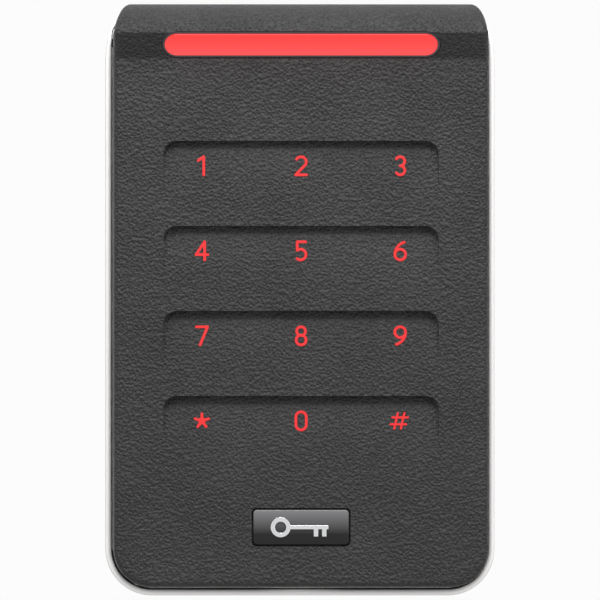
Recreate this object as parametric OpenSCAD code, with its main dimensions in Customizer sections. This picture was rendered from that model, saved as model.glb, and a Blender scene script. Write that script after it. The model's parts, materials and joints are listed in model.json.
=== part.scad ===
// Keypad access reader on a wall plate. Front faces -Y, +Z is up, the wall is the plane y = 0.
// Depths are measured forward from the wall, so a depth d lies at y = -d.

/* [Overall] */
// Width of the wall plate
plate_w = 80; // [76:0.5:100]
// Height of the whole reader
overall_h = 121.5; // [116:0.5:150]
// Thickness of the case, from its rear face to the crest of the roll
case_t = 19; // [19:0.5:24]
// Wall of the front housing
wall = 2; // [1.6:0.1:2.4]

/* [Wall plate] */
// Thickness of the plate's web
web_t = 2.2; // [1.8:0.1:3]
// Width of the rim seen around the case
rim_w = 1.55; // [1.2:0.05:3]
// Height of the rim from the wall
rim_t = 4.2; // [3:0.1:4.6]
// Gap between the case and the rim, and between the case and the web
case_gap = 0.3; // [0.2:0.05:0.5]
// Width of the cable opening
cable_w = 42; // [38:1:46]
// Height of the cable opening
cable_h = 30; // [24:1:32]
// Spacing of the upright pair of wall screws
box_screw_span = 83.3; // [80:0.1:86]
// Spacing of the level pair of wall screws
round_screw_span = 60; // [58:0.1:62]
// Width of the wall screw slots
slot_w = 4; // [3.6:0.1:4.6]
// Length of the wall screw slots
slot_len = 8; // [6:0.5:9]

/* [Hinge hooks] */
// Radius of the moulded hinge bars
bar_r = 1.5; // [1.2:0.1:1.8]
// Running clearance around the hinge bars
bar_gap = 0.08; // [0.05:0.01:0.1]
// Width of each plate hook
hook_w = 5; // [4:0.5:6]

/* [Security screw] */
// Shank radius of the security screw
screw_r = 1.75; // [1.5:0.05:2]
// Head radius of the security screw
screw_head_r = 3; // [2.6:0.1:3.2]
// Head height of the security screw
screw_head_h = 2; // [1.6:0.1:2.4]

/* [Face] */
// Radius of the roll across the top
roll_r = 8.75; // [7:0.25:10]
// How far the roll stands out from the face
roll_rise = 3; // [2:0.25:4]
// Length of the light bar
bar_len = 56; // [40:1:56]
// Height of the light bar along its slope
bar_h = 5; // [3:0.25:5]
// Distance between key rows
row_pitch = 17.45; // [16:0.05:19]
// Distance between key columns
col_pitch = 20.35; // [18:0.05:21]
// Width of the key row scoops
scoop_w = 56.5; // [50:0.5:60]
// Depth of a scoop at its step
scoop_depth = 1.4; // [0.8:0.1:1.5]
// Height of the key legends
legend_h = 4.3; // [3:0.1:4.6]
// Width of the badge
badge_w = 19.6; // [14:0.2:26]
// Height of the badge
badge_h = 7.2; // [5:0.2:8]

/* [Electronics] */
// Thickness of the main board
board_t = 1.6; // [1.2:0.1:2]
// Number of terminals
terminals = 10; // [6:1:10]
// Distance between terminals
terminal_pitch = 3.5; // [3.5:0.1:3.5]

/* [Hidden] */
$fn = 48;
eps = 0.01;
cut = 1;

// Case: its rear depth, face, corners and inner faces
case_w = plate_w - 2 * rim_w;
rim_foot = 1.5;
top_z = overall_h / 2;
case_bottom = -top_z + rim_foot + case_gap;
rear_d = web_t + case_gap;
crest_d = rear_d + case_t;
face_d = crest_d - roll_rise;
inner_d = face_d - 2.6;
corner_r = 7.7;
shoulder_x = 3.7;
shoulder_z = 8.7;
rear_lean_z = top_z - 6.75;
rear_lean = 1.5;

// Roll and light bar slope
roll_z = top_z - roll_r;
crest_z = top_z - 5.85;
slope_z = crest_z - 5.4;
roll_d = crest_d - sqrt(pow(roll_r, 2) - pow(crest_z - roll_z, 2));
slope_a = atan(roll_rise / (crest_z - slope_z));
lens_z = (crest_z + slope_z) / 2 + 0.05;
lens_d = face_d + roll_rise * (lens_z - slope_z) / (crest_z - slope_z);
groove = 0.45;
lens_t = 2;
guide_t = 1;
lug_t = 0.6;

// Rear cover
cover_t = 2.5;
cover_inset = 1.05;
seal_t = 0.8;
seal_inset = 1.1;
cover_front = rear_d + cover_t;
cover_gap = 0.05;

// Hinge, as far forward as the cups fit behind the face
lip_t = 1.6;
lip_gap = 0.32;
arm_t = 2.2;
cup_gap = 0.6;
cup_wall = 0.8;
cup_clear = 0.1;
cradle_r = bar_r + bar_gap;
hinge_d = inner_d - cup_clear - cup_wall - lip_gap - lip_t - cradle_r;
hinge_z = top_z - 8.75;
cup_w = hook_w + 2 * cup_gap;
// How far the housing's side walls lean in beside the cups, under the shoulders
shoulder_lean = 0.45;
hook_x = case_w / 2 - wall - shoulder_lean - cup_clear - cup_wall - cup_w / 2;
cup_bottom = hinge_z - 5;
cup_top = hinge_z + 3.8;
cup_d = hinge_d + cradle_r + lip_t + lip_gap;

// Security screw, its tab and its pocket
screw_d = 8;
tab_w = 12;
tab_top = case_bottom + 5.6;
tab_t = 2;
tab_gap = 0.15;
roof_gap = 0.5;
washer_t = 0.6;
washer_r = screw_head_r + 0.1;
tab_front = screw_d + 3;
pocket_w = 15;
pocket_d = screw_d + washer_r + 0.7;
pocket_top = tab_top + roof_gap;
pocket_wall = 1.2;
insert_r = screw_r + 0.75;
insert_h = 5;
insert_sink = 0.3;
insert_base = pocket_top + insert_sink;
boss_r = insert_r + 0.9;
boss_h = insert_h + 1.2;
thread_gap = 0.05;
head_top = tab_top - tab_t - tab_gap - washer_t;

// Key rows
first_step = top_z - 28.1;
scoop_run = 12;
scoop_cuts = [0, 0.24, 0.62, 1];
legend_drop = 5.1;
legend_t = 0.5;
legend_stroke = 0.56;
well_r = 3.2;
well_floor = inner_d + 0.8;
ROWS = [0:3];
COLS = [-1:1];
KEYS = [["1", "2", "3"], ["4", "5", "6"], ["7", "8", "9"], ["star", "0", "hash"]];

// Badge
badge_z = case_bottom + 12.3;
badge_t = 0.8;
badge_r = 0.7;
emblem_t = 0.25;

// Layers between the face and the main board
film_t = 0.3;
guide_plate_t = 1.8;
board_front = inner_d - film_t - guide_plate_t;
board_rear = board_front - board_t;
pad_w = 3 * col_pitch;
pad_z = first_step - 1.5 * row_pitch - legend_drop;
pad_h = 3 * row_pitch + 13.5;
lamp_w = 3.2;
lamp_h = 2.2;
lamp_t = 0.7;

// Main board
board_w = case_w - 9.9;
board_top = top_z - 14.75;
board_bottom = case_bottom + 16.95;
board_neck = 56;
board_screw_x = 24;
board_screw_top = board_top - 6;
board_screw_bottom = board_bottom + 3.5;
post_r = 2.4;
pilot_r = 1.1;
case_screw_x = case_w / 2 - 6.05;
case_screw_top = board_top - 4.5;
case_screw_bottom = case_bottom + 12.95;
case_boss_r = 2.8;
boss_split = cover_front + 1.5;
screw_play = 0.05;

// Places of the tamper window and the buzzer
tamper_x = -14;
tamper_drop = 21;
buzzer_x = 12;
buzzer_drop = 19;
sound_r = 3;

// Terminals
terminal_w = terminals * terminal_pitch + 2;
terminal_h = 9;
terminal_z = -5;
plug_back = rear_d + 0.5;
plug_split = board_rear - 3.2;
plug_gap = 0.2;
window_gap = 0.6;

// ---- helpers ----

// Carries a front-view outline from depth d0 forward to depth d1
module layer(d0, d1) {
    translate([0, -d0, 0])
        rotate([90, 0, 0])
            linear_extrude(d1 - d0) children();
}

// Carries a side-view outline, drawn with x = -depth, from x0 across to x1
module across(x0, x1) {
    translate([x0, 0, 0])
        rotate([90, 0, 90])
            linear_extrude(x1 - x0) children();
}

// Local frame on a face point whose outward normal leans up by lean degrees
module on_face(d, z, lean) {
    translate([0, -d, z])
        rotate([90 - lean, 0, 0]) children();
}

// Round bar pointing forward from depth d0 to d1
module peg(x, z, d0, d1, r) {
    translate([x, -d0, z])
        rotate([90, 0, 0]) cylinder(h = d1 - d0, r = r);
}

// Block given by its centre in the front view and its two depths
module block(x, z, w, h, d0, d1) {
    translate([x - w / 2, -d1, z - h / 2]) cube([w, d1 - d0, h]);
}

module rounded(w, h, r) {
    square([w - 2 * r, h], center = true);
    square([w, h - 2 * r], center = true);
    for (x = [-1, 1], y = [-1, 1])
        translate([x * (w / 2 - r), y * (h / 2 - r)]) circle(r);
}

// Bar with full-round ends
module stadium(w, h) {
    square([w - h, h], center = true);
    for (x = [-1, 1])
        translate([x * (w - h) / 2, 0]) circle(h / 2);
}

function quarter(cx, cz, rx, rz, from, steps) =
    [for (i = [0:steps]) [cx + rx * cos(from + 90 * i / steps), cz + rz * sin(from + 90 * i / steps)]];

// Outline of the case in front view, moved inwards by inset
function case_outline(inset) =
    let (
        hw = case_w / 2 - inset,
        top = top_z - inset,
        bottom = case_bottom + inset,
        sx = max(shoulder_x - inset, 0.5),
        sz = shoulder_z - inset,
        r = corner_r - inset
    )
    concat(
        quarter(hw - sx, top - sz, sx, sz, 0, 8),
        quarter(-hw + sx, top - sz, sx, sz, 90, 8),
        quarter(-hw + r, bottom + r, r, r, 180, 8),
        quarter(hw - r, bottom + r, r, r, 270, 8)
    );

// Outline of the wall plate in front view
function plate_outline() =
    let (
        hw = plate_w / 2,
        top = top_z - 3.25,
        r = corner_r + rim_w + case_gap
    )
    concat(
        quarter(hw - 3, top - shoulder_z, 3, shoulder_z, 0, 8),
        quarter(-hw + 3, top - shoulder_z, 3, shoulder_z, 90, 8),
        quarter(-hw + r, -top_z + r, r, r, 180, 8),
        quarter(hw - r, -top_z + r, r, r, 270, 8)
    );

// Points of the roll in side view for a roll shrunk by inset, from its top down to the crest
function roll_points(inset) =
    let (
        r = roll_r - inset,
        low = asin((crest_z - roll_z) / roll_r)
    )
    [for (i = [0:8])
        let (a = 90 - (90 - low) * i / 8) [-roll_d - r * cos(a), roll_z + r * sin(a)]];

// Side view of the whole case
module case_side() {
    polygon(concat(
        [[-rear_d, case_bottom], [-rear_d, rear_lean_z], [-rear_d - rear_lean, top_z]],
        roll_points(0),
        [[-face_d, slope_z], [-face_d, case_bottom]]
    ));
}

// Side view of the hollow inside it
module hollow_side() {
    polygon(concat(
        [[0, case_bottom + wall], [0, top_z - wall]],
        roll_points(wall),
        [[-inner_d, slope_z + 0.6], [-inner_d, case_bottom + wall]]
    ));
}

// ---- legends ----

module stroke(a, b, w) {
    len = norm(b - a);
    translate(a)
        rotate(atan2(b[1] - a[1], b[0] - a[0]))
            translate([0, -w / 2]) square([len, w]);
    translate(a) circle(w / 2);
    translate(b) circle(w / 2);
}

// Arc stroke about a centre from angle a0 to a1
module bow(c, r, a0, a1, w) {
    steps = 6;
    reach = 2 * (r + w);
    translate(c) {
        intersection() {
            difference() {
                circle(r + w / 2);
                circle(r - w / 2);
            }
            polygon(concat([[0, 0]],
                [for (i = [0:steps]) let (a = a0 + (a1 - a0) * i / steps) reach * [cos(a), sin(a)]]));
        }
        for (a = [a0, a1]) rotate(a) translate([r, 0]) circle(w / 2);
    }
}

module ring(c, r, w) {
    translate(c) difference() {
        circle(r + w / 2);
        circle(r - w / 2);
    }
}

module six(h, w) {
    ring([0, -0.41 * h], 0.59 * h, w);
    bow([0.82 * h, -0.41 * h], 1.41 * h, 106, 180, w);
}

// One legend, centred, drawn with strokes
module legend_mark(key) {
    w = legend_stroke;
    h = (legend_h - w) / 2;
    if (key == "0") {
        bow([0, 0.43 * h], 0.57 * h, 0, 180, w);
        bow([0, -0.43 * h], 0.57 * h, 180, 360, w);
        for (x = [-0.57, 0.57]) stroke([x * h, -0.43 * h], [x * h, 0.43 * h], w);
    }
    if (key == "1") {
        stroke([0.2 * h, -h], [0.2 * h, h], w);
        stroke([0.2 * h, h], [-0.4 * h, 0.6 * h], w);
    }
    if (key == "2") {
        bow([0, 0.43 * h], 0.57 * h, -35, 150, w);
        stroke([0.467 * h, 0.103 * h], [-0.6 * h, -h], w);
        stroke([-0.6 * h, -h], [0.6 * h, -h], w);
    }
    if (key == "3") {
        bow([0, 0.5 * h], 0.5 * h, -90, 145, w);
        bow([0, -0.5 * h], 0.5 * h, -145, 90, w);
    }
    if (key == "4") {
        stroke([0.3 * h, h], [-0.65 * h, -0.42 * h], w);
        stroke([-0.65 * h, -0.42 * h], [0.65 * h, -0.42 * h], w);
        stroke([0.3 * h, h], [0.3 * h, -h], w);
    }
    if (key == "5") {
        stroke([-0.42 * h, h], [0.5 * h, h], w);
        stroke([-0.42 * h, h], [-0.42 * h, 0.11 * h], w);
        bow([-0.06 * h, -0.41 * h], 0.59 * h, -130, 128, w);
    }
    if (key == "6") six(h, w);
    if (key == "7") {
        stroke([-0.6 * h, h], [0.62 * h, h], w);
        stroke([0.62 * h, h], [-0.2 * h, -h], w);
    }
    if (key == "8") {
        ring([0, 0.52 * h], 0.48 * h, w);
        ring([0, -0.46 * h], 0.54 * h, w);
    }
    if (key == "9") rotate(180) six(h, w);
    if (key == "star") {
        polygon([for (i = [0:9])
            let (r = i % 2 == 0 ? 0.8 * h : 0.36 * h, a = 90 + 36 * i) r * [cos(a), sin(a)]]);
        for (a = [18:72:306]) stroke([0, 0], 0.78 * h * [cos(a), sin(a)], w);
    }
    if (key == "hash")
        for (s = [-1, 1]) {
            stroke([-0.95 * h + 0.1 * s * h, 0.38 * s * h], [0.75 * h + 0.1 * s * h, 0.38 * s * h], w * 0.8);
            stroke([0.36 * s * h - 0.3 * h, -0.85 * h], [0.36 * s * h + 0.1 * h, 0.85 * h], w * 0.8);
        }
}

function step_z(row) = first_step - row * row_pitch;
function floor_depth(t) = scoop_depth * pow(1 - t, 2);
legend_lean = atan((floor_depth(scoop_cuts[1]) - floor_depth(scoop_cuts[2]))
    / (scoop_run * (scoop_cuts[2] - scoop_cuts[1])));
legend_floor = floor_depth(scoop_cuts[1])
    - (legend_drop - scoop_run * scoop_cuts[1]) * tan(legend_lean);

// Puts a key's legend outline on the floor of its scoop, from depth -below to +above
module key_inlay(row, col, below, above) {
    on_face(face_d - legend_floor, step_z(row) - legend_drop, legend_lean)
        translate([col * col_pitch, 0, -below])
            linear_extrude(below + above) legend_mark(KEYS[row][col + 1]);
}

module key_legend(key) {
    color([1, 0.28, 0.27])
        for (row = ROWS, col = COLS)
            if (KEYS[row][col + 1] == key) key_inlay(row, col, legend_t, 0);
}

// ---- wall plate ----

module hook() {
    foot = web_t - 0.4;
    across(hook_x - hook_w / 2, hook_x + hook_w / 2)
        difference() {
            polygon([
                [-foot, hinge_z - cradle_r - arm_t],
                [-foot, hinge_z - cradle_r],
                [-hinge_d + cradle_r + lip_t, hinge_z + 0.4],
                [-hinge_d - cradle_r - lip_t, hinge_z + 0.4],
                [-hinge_d - cradle_r - lip_t, hinge_z - cradle_r - arm_t]
            ]);
            translate([-hinge_d, hinge_z]) circle(cradle_r);
            translate([-hinge_d - cradle_r, hinge_z]) square([2 * cradle_r, cut]);
        }
}

module slot_cut(x, z, turn) {
    translate([x, cut, z])
        rotate([90, turn, 0])
            linear_extrude(web_t + 2 * cut) stadium(slot_len, slot_w);
}

module mounting_plate() {
    color([0.86, 0.87, 0.88])
        difference() {
            union() {
                layer(0, web_t) polygon(plate_outline());
                layer(0, rim_t)
                    difference() {
                        polygon(plate_outline());
                        polygon(case_outline(-case_gap));
                    }
                hook();
                mirror([1, 0, 0]) hook();
                block(0, tab_top - tab_t / 2, tab_w, tab_t, web_t - 0.4, tab_front);
            }
            block(0, terminal_z + 1, cable_w, cable_h, -cut, web_t + cut);
            for (s = [-1, 1]) {
                slot_cut(0, s * box_screw_span / 2, 90);
                slot_cut(s * round_screw_span / 2, 0, 0);
            }
            // Open slot that the security screw stands in
            translate([0, -screw_d, tab_top - tab_t - cut])
                cylinder(h = tab_t + 2 * cut, r = screw_r + 0.35);
            block(0, tab_top - tab_t / 2, 2 * screw_r + 0.7, tab_t + 2 * cut, screw_d, tab_front + cut);
        }
}

// ---- case ----

module scoop(row) {
    z = step_z(row);
    across(-scoop_w / 2, scoop_w / 2)
        polygon(concat(
            [[-face_d - cut, z]],
            [for (t = scoop_cuts) [-face_d + floor_depth(t), z - t * scoop_run]],
            [[-face_d - cut, z - scoop_run]]
        ));
}

module case_bosses() {
    for (x = [-1, 1]) {
        for (z = [case_screw_top, case_screw_bottom]) {
            peg(x * case_screw_x, z, boss_split, inner_d + eps, case_boss_r);
            block(x * (case_screw_x + case_boss_r), z, 2 * case_boss_r, 1.6, boss_split, inner_d + eps);
        }
        for (z = [board_screw_top, board_screw_bottom])
            peg(x * board_screw_x, z, board_front, inner_d + eps, post_r);
    }
}

// Round holes for the case screws and board screws
module pilot_holes() {
    for (x = [-1, 1]) {
        for (z = [case_screw_top, case_screw_bottom])
            peg(x * case_screw_x, z, boss_split - cut, inner_d - 0.8, pilot_r);
        for (z = [board_screw_top, board_screw_bottom])
            peg(x * board_screw_x, z, board_front - cut, inner_d + 0.8, pilot_r);
    }
}

module front_housing() {
    color([0.25, 0.245, 0.25])
        difference() {
            union() {
                difference() {
                    intersection() {
                        layer(rear_d, crest_d + cut) polygon(case_outline(0));
                        across(-case_w / 2 - cut, case_w / 2 + cut) case_side();
                    }
                    intersection() {
                        layer(0, crest_d) polygon(case_outline(wall));
                        across(-case_w / 2, case_w / 2) hollow_side();
                    }
                    layer(0, cover_front + seal_t) polygon(case_outline(cover_inset - cover_gap));
                }
                intersection() {
                    case_bosses();
                    across(-case_w / 2, case_w / 2) case_side();
                    layer(rear_d, crest_d) polygon(case_outline(wall / 2));
                }
                block(0, (case_bottom + pocket_top + pocket_wall) / 2, pocket_w + 2 * pocket_wall,
                    pocket_top + pocket_wall - case_bottom, rear_d, inner_d + eps);
                translate([0, -screw_d, pocket_top])
                    cylinder(h = boss_h, r = boss_r);
            }
            // Pocket for the plate's tab and the screw head, open to the wall and below
            block(0, (case_bottom - cut + pocket_top) / 2, pocket_w,
                pocket_top - case_bottom + cut, 0, pocket_d);
            translate([0, -screw_d, pocket_top - cut])
                cylinder(h = cut + insert_sink + insert_h, r = insert_r);
            pilot_holes();
            for (row = ROWS) scoop(row);
            for (row = ROWS, col = COLS) {
                key_inlay(row, col, legend_t, cut);
                peg(col * col_pitch, step_z(row) - legend_drop, inner_d - cut, well_floor, well_r);
            }
            // Light bar opening and the groove around it
            on_face(lens_d, lens_z, -slope_a) {
                translate([0, 0, -0.6])
                    linear_extrude(0.6 + cut) stadium(bar_len + 2 * groove, bar_h + 2 * groove);
                translate([0, 0, -4.4])
                    linear_extrude(4.4) stadium(bar_len + 0.1, bar_h + 0.1);
            }
            layer(face_d - badge_t - 0.1, face_d + cut)
                translate([0, badge_z]) rounded(badge_w + 0.6, badge_h + 0.6, badge_r + 0.3);
        }
}

// Cup that takes a plate hook, with the hinge bar across it
module cup_shell() {
    block(hook_x, (cup_bottom + cup_top) / 2, cup_w + 2 * cup_wall,
        cup_top - cup_bottom + 2 * cup_wall, rear_d + 1.6, cup_d + cup_wall);
}

module cup_hollow() {
    block(hook_x, (cup_bottom + cup_top) / 2, cup_w, cup_top - cup_bottom, 0, cup_d);
}

module cup_bar() {
    translate([hook_x - cup_w / 2 - cup_wall, -hinge_d, hinge_z])
        rotate([0, 90, 0]) cylinder(h = cup_w + 2 * cup_wall, r = bar_r);
}

module head_recess(x, z, w, h) {
    block(x, z, w, h, 0, rear_d + 1.7);
}

module rear_cover() {
    color([0.13, 0.13, 0.135])
        union() {
            difference() {
                union() {
                    intersection() {
                        layer(rear_d, cover_front) polygon(case_outline(cover_inset));
                        across(-case_w / 2, case_w / 2) case_side();
                    }
                    for (s = [0, 1]) mirror([s, 0, 0]) {
                        cup_shell();
                        for (z = [case_screw_top, case_screw_bottom])
                            peg(case_screw_x, z, cover_front - 0.5, boss_split, case_boss_r);
                    }
                    for (s = [-1, 1]) {
                        block(0, s * box_screw_span / 2, 12, 14, cover_front - 0.5, cover_front + 0.8);
                        block(s * round_screw_span / 2, 0, 12, 12, cover_front - 0.5, cover_front + 0.8);
                    }
                    peg(tamper_x, terminal_z - tamper_drop, cover_front - 0.5, cover_front + 0.8, 4);
                }
                for (s = [0, 1]) mirror([s, 0, 0]) {
                    cup_hollow();
                    for (z = [case_screw_top, case_screw_bottom]) {
                        peg(case_screw_x, z, 0, rear_d + 1.6, 2.4);
                        peg(case_screw_x, z, 0, boss_split + cut, pilot_r + 0.15);
                    }
                }
                for (s = [-1, 1]) {
                    head_recess(0, s * box_screw_span / 2, 10, 12);
                    head_recess(s * round_screw_span / 2, 0, 10, 10);
                }
                // Window over the terminals
                block(0, terminal_z, terminal_w + 2 * window_gap, terminal_h + 2 * window_gap,
                    0, cover_front + cut);
                // Clearance around the screw pocket
                block(0, case_bottom, pocket_w + 2 * pocket_wall + 0.2,
                    2 * (pocket_top + pocket_wall - case_bottom) + 0.2, 0, cover_front + cut);
                // Clearance around the boss of the threaded insert
                translate([0, -screw_d, pocket_top])
                    cylinder(h = boss_h + 0.3, r = boss_r + 0.2);
                // Stepped seat of the tamper window
                peg(tamper_x, terminal_z - tamper_drop, 0, cover_front + cut, 2);
                peg(tamper_x, terminal_z - tamper_drop, cover_front, cover_front + cut, 3);
                // Sound holes over the buzzer
                for (a = [0:72:288])
                    peg(buzzer_x + sound_r * cos(a), terminal_z - buzzer_drop + sound_r * sin(a),
                        0, cover_front + cut, 0.6);
            }
            cup_bar();
            mirror([1, 0, 0]) cup_bar();
        }
}

module housing_seal() {
    color([0.1, 0.1, 0.1])
        difference() {
            layer(cover_front, cover_front + seal_t)
                difference() {
                    polygon(case_outline(seal_inset));
                    polygon(case_outline(wall));
                }
            block(0, case_bottom, pocket_w + 2 * pocket_wall + 0.2,
                2 * (pocket_top + pocket_wall - case_bottom) + 0.2, 0, cover_front + cut);
        }
}

// Screw pointing forward from a head that starts at depth d
module small_screw(x, z, d, head_r, head_h, shank_r, len) {
    difference() {
        union() {
            peg(x, z, d, d + head_h, head_r);
            peg(x, z, d + head_h - eps, d + head_h + len, shank_r);
        }
        for (turn = [0, 90])
            translate([x, -d, z])
                rotate([0, turn, 0]) cube([1.8, 1.2, 0.4], center = true);
    }
}

module rear_cover_screws() {
    color([0.7, 0.71, 0.72])
        for (x = [-1, 1], z = [case_screw_top, case_screw_bottom])
            small_screw(x * case_screw_x, z, rear_d + 0.2, 2.2, 1.4, pilot_r - screw_play, 9);
}

// ---- light bar ----

module light_bar_lens() {
    color([1, 0.3, 0.27])
        on_face(lens_d, lens_z, -slope_a) {
            translate([0, 0, -lens_t])
                linear_extrude(lens_t) stadium(bar_len, bar_h);
            translate([0, 0, -lens_t - lug_t])
                linear_extrude(lug_t) square([bar_len - 2, bar_h - 1.2], center = true);
        }
}

module light_bar_guide() {
    color([0.95, 0.9, 0.9])
        on_face(lens_d, lens_z, -slope_a)
            translate([0, 0, -lens_t - lug_t - guide_t])
                linear_extrude(guide_t) stadium(bar_len - 2, bar_h - 1.4);
}

strip_rear = board_front + 0.8;
strip_t = 1;
strip_w = 52;

module light_bar_board() {
    color([0.1, 0.35, 0.2])
        block(0, (top_z - 4.9 + board_top - 3.5) / 2, strip_w, top_z - 4.9 - board_top + 3.5,
            strip_rear, strip_rear + strip_t);
}

module light_bar_lamps() {
    color([0.95, 0.85, 0.7])
        for (i = [-2.5:2.5])
            block(9 * i, lens_z + 1.7, 2, 1.4, strip_rear + strip_t, strip_rear + strip_t + 0.4);
}

module light_bar_connector() {
    color([0.9, 0.88, 0.8])
        block(0, board_top - 1.75, 10, 2.5, board_front, strip_rear);
}

// ---- keypad ----

module at_lamps() {
    for (row = ROWS, x = [-col_pitch / 2, col_pitch / 2])
        translate([x, step_z(row) - legend_drop]) children();
}

module keypad_light_guide() {
    color([0.92, 0.93, 0.95])
        layer(board_front, board_front + guide_plate_t)
            difference() {
                translate([0, pad_z]) rounded(pad_w, pad_h, 2);
                at_lamps() square([lamp_w + 0.4, lamp_h + 0.4], center = true);
            }
}

module keypad_lamps() {
    color([0.95, 0.9, 0.8])
        layer(board_front, board_front + lamp_t)
            at_lamps() square([lamp_w, lamp_h], center = true);
}

module touch_sensor_film() {
    color([0.75, 0.55, 0.25])
        layer(inner_d - film_t, inner_d)
            difference() {
                translate([0, pad_z]) rounded(pad_w, pad_h, 2);
                for (row = ROWS, col = COLS)
                    translate([col * col_pitch, step_z(row) - legend_drop]) circle(well_r);
            }
}

module touch_film_connector() {
    color([0.9, 0.88, 0.8])
        block(0, pad_z - pad_h / 2 - 1.7, 14, 2.6, board_front, board_front + 1);
}

// ---- badge ----

module badge_plate() {
    color([0.2, 0.2, 0.21])
        layer(face_d - badge_t - 0.1, face_d - 0.1)
            translate([0, badge_z]) rounded(badge_w, badge_h, badge_r);
}

// Plain door key lying on its side
module badge_emblem() {
    color([0.85, 0.86, 0.88])
        layer(face_d - 0.1, face_d - 0.1 + emblem_t)
            translate([-1, badge_z]) {
                ring([-3.2, 0], 1.6, 0.9);
                translate([-1.4, -0.4]) square([8, 0.8]);
                for (x = [3.6, 5.3]) translate([x, -1.9]) square([0.9, 1.6]);
            }
}

// ---- main board and what it carries ----

module main_board() {
    color([0.08, 0.32, 0.18])
        layer(board_rear, board_front)
            difference() {
                polygon([
                    [-board_w / 2, board_bottom], [board_w / 2, board_bottom],
                    [board_w / 2, case_screw_top - 4.5], [board_neck / 2, case_screw_top - 4.5],
                    [board_neck / 2, board_top], [-board_neck / 2, board_top],
                    [-board_neck / 2, case_screw_top - 4.5], [-board_w / 2, case_screw_top - 4.5]
                ]);
                for (x = [-1, 1], z = [board_screw_top, board_screw_bottom])
                    translate([x * board_screw_x, z]) circle(pilot_r + 0.2);
            }
}

module board_screws() {
    color([0.7, 0.71, 0.72])
        for (x = [-1, 1], z = [board_screw_top, board_screw_bottom])
            small_screw(x * board_screw_x, z, board_rear - 1.2, 2.1, 1.2, pilot_r - screw_play, 4);
}

module processor() {
    color([0.12, 0.12, 0.13]) block(9, 15, 10, 10, board_rear - 1, board_rear);
}

module radio_chip() {
    color([0.12, 0.12, 0.13]) block(-11, 16, 7, 7, board_rear - 0.9, board_rear);
}

module radio_shield() {
    color([0.75, 0.76, 0.76])
        difference() {
            block(-11, 16, 17, 15, board_rear - 2.4, board_rear);
            block(-11, 16, 16.4, 14.4, board_rear - 2.1, board_rear + cut);
        }
}

module clock_crystal() {
    color([0.8, 0.8, 0.8])
        layer(board_rear - 1.2, board_rear)
            translate([18, 15]) rotate(90) stadium(8, 3.2);
}

module antenna_coil() {
    color([0.72, 0.42, 0.2])
        layer(board_rear - 1.5, board_rear)
            translate([0, 1]) difference() {
                rounded(60, 68, 6);
                rounded(54, 62, 3);
            }
}

module wireless_module() {
    color([0.1, 0.3, 0.45])
        block(-3, 28, 16, 6, board_rear - 1.8, board_rear);
}

module buzzer() {
    color([0.1, 0.1, 0.1])
        difference() {
            peg(buzzer_x, terminal_z - buzzer_drop, board_rear - 4.5, board_rear, 6);
            peg(buzzer_x, terminal_z - buzzer_drop, board_rear - 4.5 - cut, board_rear - 3.5, 1.5);
        }
}

module tamper_sensor() {
    color([0.15, 0.15, 0.16])
        block(tamper_x, terminal_z - tamper_drop, 4, 3, board_rear - 3, board_rear);
}

module tamper_window() {
    color([0.8, 0.82, 0.85]) {
        peg(tamper_x, terminal_z - tamper_drop, rear_d + 0.2, cover_front, 1.95);
        peg(tamper_x, terminal_z - tamper_drop, cover_front, cover_front + 0.8, 2.95);
    }
}

module power_inductor() {
    color([0.25, 0.25, 0.26])
        layer(board_rear - 3, board_rear)
            translate([-3, terminal_z - 8.6]) rounded(6.5, 6.5, 1.5);
}

module power_capacitors() {
    color([0.6, 0.62, 0.65])
        for (x = [-6, 1]) peg(x, terminal_z - 16, board_rear - 4.8, board_rear, 2.6);
}

module surge_diodes() {
    color([0.12, 0.12, 0.13])
        for (i = [0:4]) block(-21 + 3.4 * i, terminal_z + 8, 1.6, 2.8, board_rear - 1, board_rear);
}

// ---- terminals ----

module at_terminals() {
    for (i = [0:terminals - 1])
        translate([(i - (terminals - 1) / 2) * terminal_pitch, 0, 0]) children();
}

module terminal_header() {
    color([0.12, 0.35, 0.2])
        difference() {
            block(0, terminal_z, terminal_w, terminal_h, plug_split - 2, board_rear);
            block(0, terminal_z, terminal_w - 2, terminal_h - 2, plug_split - 2 - cut, board_rear - 1.2);
            at_terminals() block(0, terminal_z, 0.9, 0.9, plug_split, board_rear + cut);
        }
}

module terminal_pins() {
    color([0.85, 0.8, 0.6])
        at_terminals() block(0, terminal_z, 0.8, 0.8, plug_split - 1.5, board_front - 0.2 - board_t);
}

module terminal_plug() {
    color([0.1, 0.42, 0.22])
        difference() {
            union() {
                block(0, terminal_z, terminal_w, terminal_h, plug_back, plug_split - 2 - plug_gap);
                block(0, terminal_z, terminal_w - 2.6, terminal_h - 2.6,
                    plug_split - 2 - plug_gap - eps, board_rear - 1.5);
            }
            at_terminals() {
                // Wire entry, clamp screw well and pin socket
                block(0, terminal_z - 2.2, 2.4, 2.4, plug_back - cut, plug_back + 1.6);
                peg(0, terminal_z + 2, plug_back - cut, plug_back + 1.6, 1.3);
                block(0, terminal_z, 1.4, 1.4, plug_split - 1.8, board_rear);
            }
        }
}

module terminal_screws() {
    color([0.8, 0.8, 0.78])
        at_terminals()
            difference() {
                peg(0, terminal_z + 2, plug_back + 0.6, plug_back + 1.6, 1.2);
                block(0, terminal_z + 2, 0.4, 3, plug_back, plug_back + 1);
            }
}

module terminal_clamps() {
    color([0.8, 0.78, 0.7])
        at_terminals() block(0, terminal_z - 2.2, 2.2, 2.2, plug_back + 1, plug_back + 1.6);
}

// ---- security screw ----

module threaded_insert() {
    color([0.8, 0.65, 0.3])
        translate([0, -screw_d, insert_base])
            difference() {
                cylinder(h = insert_h, r = insert_r);
                translate([0, 0, -cut]) cylinder(h = insert_h + 2 * cut, r = screw_r + thread_gap);
            }
}

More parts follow.
